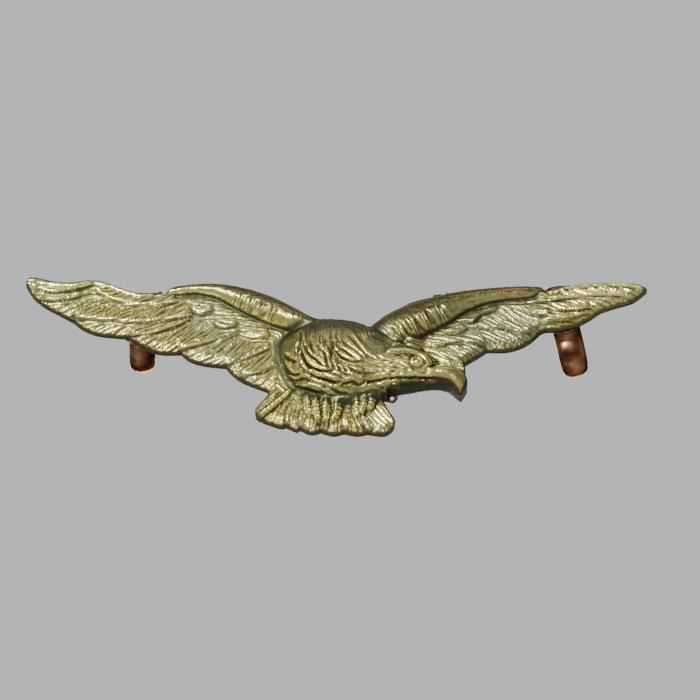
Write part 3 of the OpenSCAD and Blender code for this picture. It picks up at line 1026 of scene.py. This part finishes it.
def brass_material():
    look = Look(bpy.data.materials.new("aged_brass"))
    cloud = look.noise(260, 3, 0.6)
    speckle = look.noise(2600, 3, 0.7)
    grain = look.noise(6500, 2, 0.6)
    brown = look.attribute("brown")
    front = look.attribute("front")
    ragged = look.plus(look.attribute("cavity"), look.times(look.minus(speckle, 0.5), 0.09))
    ragged = look.plus(ragged, look.times(look.minus(grain, 0.5), 0.07))
    high = look.plus(look.fit(ragged, -0.03, 0.07), look.times(look.attribute("polish"), 0.35))
    high.node.use_clamp = True
    colour = look.mix(look.fit(cloud, 0.42, 0.62), WARM_BRASS, COOL_BRASS)
    # brown tarnish, which on the rolls' sides and the breast is also painted shade
    colour = look.mix(look.times(brown, look.fit(cloud, 0.1, 0.45)), colour, TARNISH_AND_SHADE)
    bright = look.times(high, look.minus(1, look.times(brown, 0.75)))
    colour = look.mix(bright, colour, POLISHED)
    pale = look.times(look.attribute("verdigris"), look.fit(cloud, 0.25, 0.6))
    colour = look.mix(pale, colour, VERDIGRIS)
    moss = look.fit(look.plus(look.attribute("green"), cloud), 0.7, 1.4)
    colour = look.mix(look.times(moss, 0.8), colour, PATINA)
    # dirt and painted shade in the deepest crevices
    colour = look.mix(look.times(look.fit(ragged, 0.01, -0.11), 0.9), colour, CREVICE_GRIME_AND_SHADE)
    # darker brown along the front's rounded edge
    rim_band = look.times(look.fit(look.attribute("rim"), 0.28, 0.05), front)
    colour = look.mix(look.times(rim_band, 0.85), colour, DARK_BROWN_RIM)
    red_spot = look.times(look.attribute("red"), look.fit(speckle, 0.42, 0.6))
    colour = look.mix(red_spot, colour, BLUSH)
    # near-black painted shade where the shade attribute is high, kept off the ridges
    dark = look.times(look.attribute("shade"), look.fit(ragged, 0.1, -0.02))
    colour = look.mix(dark, colour, PAINTED_SHADE)
    # tarnish and painted shade on the side walls
    colour = look.mix(look.times(look.minus(1, front), 0.92), colour, SIDE_TARNISH_AND_SHADE)
    rear = look.mix(look.fit(cloud, 0.35, 0.65), BACK_DARK, BACK_PALE)
    rear = look.mix(look.fit(speckle, 0.56, 0.72), rear, BACK_SPECK)
    look.shader("Base Color", look.mix(look.attribute("rear"), colour, rear))
    look.shader("Metallic", 0.92)
    look.shader("Roughness", look.scale(high, 0, 1, 0.5, 0.26))
    look.bump(look.plus(speckle, grain), 0.5, 0.00004)
    return look.owner


COPPER_STOPS = [(0.36, (0.05, 0.022, 0.012)), (0.5, (0.24, 0.10, 0.045)), (0.66, (0.62, 0.32, 0.18))]
BRAZE_STOPS = [(0.38, (0.09, 0.065, 0.035)), (0.62, (0.42, 0.33, 0.19))]


def copper_material():
    look = Look(bpy.data.materials.new("tarnished_copper"))
    cloud = look.noise(620, 5)
    look.shader("Base Color", look.ramp(cloud, COPPER_STOPS))
    look.shader("Metallic", 1)
    look.shader("Specular Tint", (0.3, 0.16, 0.1))
    look.shader("Roughness", look.scale(cloud, 0.35, 0.65, 0.45, 0.24))
    look.bump(look.noise(1600, 2), 0.3, 0.00003)
    return look.owner


def braze_material():
    look = Look(bpy.data.materials.new("grainy_braze"))
    grain = look.noise(4200, 4)
    look.shader("Base Color", look.ramp(grain, BRAZE_STOPS))
    look.shader("Metallic", 0.9)
    look.shader("Roughness", 0.5)
    look.bump(grain, 0.6, 0.00006)
    return look.owner


# ---------- camera, light and floor ----------

VIEW_DOWN = radians(25)         # the camera looks up at the badge
CAMERA_FAR = 0.6
FRAME_WIDTH = 0.0561                 # what the frame holds at the badge
AIM = Vector((0.00113, 0, -0.00077))


def aim(thing, target):
    thing.rotation_euler = (target - thing.location).to_track_quat("-Z", "Y").to_euler()


def add_camera():
    data = bpy.data.cameras.new("camera")
    data.sensor_width = 36
    data.lens = data.sensor_width * CAMERA_FAR / FRAME_WIDTH
    data.clip_start = 0.01
    camera = bpy.data.objects.new("camera", data)
    bpy.context.scene.collection.objects.link(camera)
    camera.location = AIM + CAMERA_FAR * Vector((0, -math.cos(VIEW_DOWN), -math.sin(VIEW_DOWN)))
    aim(camera, AIM)
    bpy.context.scene.camera = camera


def add_light(name, place, size, power):
    data = bpy.data.lights.new(name, "AREA")
    data.shape = "RECTANGLE"
    data.size, data.size_y = size
    data.energy = power
    light = bpy.data.objects.new(name, data)
    bpy.context.scene.collection.objects.link(light)
    light.location = place
    light.visible_camera = False
    aim(light, Vector((0, 0, 0)))


FLOOR_Z = -0.75
FLOOR_SIZE = 6
FRONT_DIM = 0.14       # the world's strength as the metal sees it, in front of the badge
BEHIND_DIM = 0.6       # and behind it
GREY = (0.62, 0.64, 0.635)


def toward(azimuth, elevation, distance):
    """A place as seen from the badge; azimuth 0 is in front of it and 90 to the viewer's right."""
    a = radians(azimuth)
    e = radians(elevation)
    return distance * Vector((math.sin(a) * math.cos(e), -math.cos(a) * math.cos(e), math.sin(e)))


def add_world():
    """The camera sees plain grey; the metal sees it dimmer in front of the badge than behind it."""
    world = bpy.data.worlds.new("studio")
    look = Look(world)
    way = look.add("ShaderNodeTexCoord", {}).outputs["Generated"]
    depth = look.add("ShaderNodeSeparateXYZ", {0: way}).outputs["Y"]
    dim = look.scale(depth, -0.7, 0.6, FRONT_DIM, BEHIND_DIM)
    to_camera = look.add("ShaderNodeLightPath", {}).outputs["Is Camera Ray"]
    background = look.tree.nodes["Background"].inputs
    look.put(background["Color"], GREY)
    look.put(background["Strength"], look.math("MAXIMUM", to_camera, dim))
    bpy.context.scene.world = world


def add_floor():
    h = FLOOR_SIZE / 2
    mesh = bpy.data.meshes.new("floor")
    corners = [(-h, -h, FLOOR_Z), (h, -h, FLOOR_Z), (h, h, FLOOR_Z), (-h, h, FLOOR_Z)]
    mesh.from_pydata(corners, [], [(0, 1, 2, 3)])
    look = Look(bpy.data.materials.new("pale_floor"))
    look.shader("Base Color", (0.88, 0.89, 0.89))
    look.shader("Roughness", 0.8)
    mesh.materials.append(look.owner)
    link(mesh, "floor")


def add_stage():
    add_light("key", toward(-25, -10, 0.4), size=(0.1, 0.1), power=3.4)
    add_light("top", toward(10, 50, 0.4), size=(0.25, 0.08), power=0.2)
    add_light("behind", toward(180, 14, 0.5), size=(0.2, 0.2), power=2.2)
    add_world()
    add_floor()


# ---------- lugs ----------

EYE_DEPTH = 4.1        # from the back to the eye's centre
EYE_MIDDLE = 1.8       # radius of the wire's middle around the eye
WIRE_W = 2.1
WIRE_T = 1.2
GAP = 27               # half the angle where the eye is open towards the back
LEAN_FROM = 0.5        # the feet lie flat up to here
LUG_SIDES = 28
OUTER = 0.7            # how far the wire bulges outward and inward, in thicknesses
INNER = 0.42


def lug_path(upper, lower):
    """The wire's middle as [depth, height, thickness, width], from the upper foot to the lower."""
    def foot(reach):
        end = [(0.2, 0.05, 0.3, 1), (0.3, -0.08, 0.62, 1.7), (0.42, -0.4, 0.84, 2.04),
               (0.44, -0.75, 0.86, WIRE_W)]
        leg = [(0.55, 0.75, 0.95, WIRE_W), (0.95, 0.55, 1, WIRE_W), (1.5, 0.52, 1.02, WIRE_W),
               (2, 0.58, 1.1, WIRE_W)]
        return [(y, reach + z, t, w) for y, z, t, w in end] + leg

    start = radians(GAP)
    ring = []
    for k in range(19):
        a = start + (2 * pi - 2 * start) * k / 18
        ring.append((EYE_DEPTH - EYE_MIDDLE * math.cos(a), EYE_MIDDLE * math.sin(a), WIRE_T, WIRE_W))
    back = [(y, -z, t, w) for y, z, t, w in foot(lower)]
    return curve(foot(upper) + ring + back[::-1], 4)


def turned(x, y, degrees):
    """Coordinates x, y turned about the origin."""
    a = radians(degrees)
    return x * math.cos(a) - y * math.sin(a), x * math.sin(a) + y * math.cos(a)


def wire_points(path, seed):
    """Rings of points around a path, a little uneven as hammered wire is."""
    waves = np.random.default_rng(seed).uniform(-1, 1, (10, 4))
    ahead = np.gradient(path[:, :2], axis=0)
    ahead /= np.linalg.norm(ahead, axis=1)[:, None]
    across = np.column_stack([-ahead[:, 1], ahead[:, 0]])
    angle = np.arange(LUG_SIDES) * 2 * pi / LUG_SIDES
    cos = np.cos(angle)
    sin = np.sin(angle)
    flat_x = np.sign(cos) * np.abs(cos) ** 0.9
    flat_n = where(sin > 0, OUTER, INNER) * np.sign(sin) * np.abs(sin) ** 0.9
    points = []
    for (y, z, t, w), n in zip(path, across):
        x = flat_x * w / 2
        rise = flat_n * t
        dent = sum(0.012 * np.sin(2.2 * k0 * x + 2.6 * k1 * y + 2.4 * k2 * z + 9 * k3 + rise)
                   for k0, k1, k2, k3 in waves)
        rise = rise + dent * flat_n / OUTER
        points.append(np.column_stack([x, y + n[0] * rise, z + n[1] * rise]))
    return np.array(points)


def wire_loop(name, at, turn, lean_out, lean_down, reach, seed):
    """One lug of flattened wire. It leans from its feet on, and is turned in the back's plane."""
    points = wire_points(lug_path(*reach), seed)
    lean = smooth((points[..., 1] - LEAN_FROM) / 1)[..., None]
    y, z = turned(points[..., 1], points[..., 2], -lean_down)
    x, y = turned(points[..., 0], y, -lean_out)
    points = points + lean * (np.stack([x, y, z], -1) - points)
    x, z = turned(points[..., 0], points[..., 2], turn)
    y = maximum(points[..., 1], 0)
    places = np.stack([x + at[0], y, z + at[1] + LEVEL], -1).reshape(-1, 3)
    count = len(points)
    sides = LUG_SIDES
    faces = []
    for i in range(count - 1):
        for k in range(sides):
            n = (k + 1) % sides
            faces.append([i * sides + k, i * sides + n, (i + 1) * sides + n, (i + 1) * sides + k])
    faces.append(list(range(sides))[::-1])
    faces.append([(count - 1) * sides + k for k in range(sides)])
    return new_piece(name, places.tolist(), faces)


# ---------- braze ----------

FILLET_W = 0.45
FILLET_H = 0.4
FILLET_SINK = 0.04     # how far it goes into the foot
FILLET_STEPS = 9
FILLET_FROM = 1.15     # it starts just past the legs
FOOT_CORNER = WIRE_W / 3
FOOT_STEP = 0.06
LONG = 9               # past the end of any foot
LEFT_FOOT = (-15.6, 0.8)       # where the lugs stand on the back
RIGHT_FOOT = (18.1, 1.5)
RIGHT_TURN = 10
LEFT_REACH = (1.55, 1.8)       # how far the upper and the lower foot reach from there
RIGHT_REACH = (2.4, 1.4)
# name, where the lug stands, its turn, up or down, the foot's reach, how far the braze goes, seed
BRAZES = [
    ("braze_left_upper", LEFT_FOOT, 0, 1, LEFT_REACH[0], LONG, 21),
    ("braze_left_lower", LEFT_FOOT, 0, -1, LEFT_REACH[1], LONG, 22),
    ("braze_right_upper", RIGHT_FOOT, RIGHT_TURN, 1, RIGHT_REACH[0], 1.7, 23),
    ("braze_right_lower", RIGHT_FOOT, RIGHT_TURN, -1, RIGHT_REACH[1], 1.6, 24),
]


def foot_edge(reach):
    """One side and half the end of a foot's edge, as rows [x, z, outward x, outward z]."""
    half = WIRE_W / 2
    rows = [(half, z, 1, 0) for z in np.arange(FILLET_FROM, reach - FOOT_CORNER, FOOT_STEP)]
    for k in range(13):
        a = pi / 2 * k / 12
        x = half - FOOT_CORNER + FOOT_CORNER * math.cos(a)
        z = reach - FOOT_CORNER + FOOT_CORNER * math.sin(a)
        rows.append((x, z, math.cos(a), math.sin(a)))
    for x in np.arange(half - FOOT_CORNER - FOOT_STEP, 0, -FOOT_STEP):
        rows.append((x, reach, 0, 1))
    return rows


def fillet_section(x, z, nx, nz, swing):
    """The lumpy braze across one point of a foot's edge."""
    lump = sum(math.sin((3 + 2.3 * k) * (x + 1.7 * z) + s) / (k + 2) for k, s in enumerate(swing))
    wide = FILLET_W * (0.88 + 0.1 * lump)
    tall = FILLET_H * (0.9 + 0.12 * lump)
    section = []
    for k in range(FILLET_STEPS):
        a = pi / 2 * k / (FILLET_STEPS - 1)
        out = wide * (1 - math.cos(a)) ** 0.8 - FILLET_SINK
        ripple = 0.03 * math.sin(9 * x + 7 * z + 5 * a + swing[0]) * math.sin(2 * a)
        rise = tall * (1 - math.sin(a)) ** 0.8 + ripple
        section.append((x + nx * out, max(rise, 0), z + nz * out))
    section.append((x - nx * FILLET_SINK, 0, z - nz * FILLET_SINK))
    return section


def braze_fillet(name, at, turn, way, reach, limit, seed):
    """Braze that climbs from the back onto the sides and the end of a foot."""
    right = foot_edge(reach)
    left = [(-x, z, -nx, nz) for x, z, nx, nz in right[::-1]]
    if reach > limit - 0.3:
        # a bead on each side
        runs = [[row for row in run if row[1] < limit] for run in (right, left)]
    else:
        runs = [[row for row in right + left if row[1] > FILLET_FROM - 0.01]]
    swing = np.random.default_rng(seed).uniform(0, 2 * pi, 6)
    places = []
    faces = []
    ring = FILLET_STEPS + 1
    for run in runs:
        start = len(places)
        for row in run:
            places += fillet_section(*row, swing)
        for i in range(len(run) - 1):
            for k in range(ring):
                n = (k + 1) % ring
                a = start + i * ring
                faces.append([a + k, a + ring + k, a + ring + n, a + n])
        faces.append([start + k for k in range(ring)])
        faces.append([start + (len(run) - 1) * ring + k for k in range(ring)][::-1])
    for i, (x, y, z) in enumerate(places):
        x, z = turned(x, z * way, turn)
        places[i] = (x + at[0], y, z + at[1] + LEVEL)
    piece = new_piece(name, places, faces)
    bm = bmesh.new()
    bm.from_mesh(piece.data)
    bmesh.ops.recalc_face_normals(bm, faces=bm.faces)
    bm.to_mesh(piece.data)
    bm.free()
    return piece


# ---------- put the badge together ----------

def finish_piece(piece, node, material):
    """Gives a piece its material, hangs it on the root body, and hides the CAD node it stands for."""
    piece.data.materials.append(material)
    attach(piece, "root")
    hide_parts(node)


finish_piece(build_eagle(), "eagle", brass_material())
copper = copper_material()
left_lug = wire_loop("wire_lug_left", LEFT_FOOT, 0, lean_out=0, lean_down=-3, reach=LEFT_REACH, seed=3)
finish_piece(left_lug, "lug_left", copper)
right_lug = wire_loop("wire_lug_right", RIGHT_FOOT, RIGHT_TURN, lean_out=9, lean_down=16,
                      reach=RIGHT_REACH, seed=4)
finish_piece(right_lug, "lug_right", copper)
braze = braze_material()
for node, *size in BRAZES:
    fillet = braze_fillet(node.replace("braze", "fillet"), *size)
    finish_piece(fillet, node, braze)

add_camera()
add_stage()
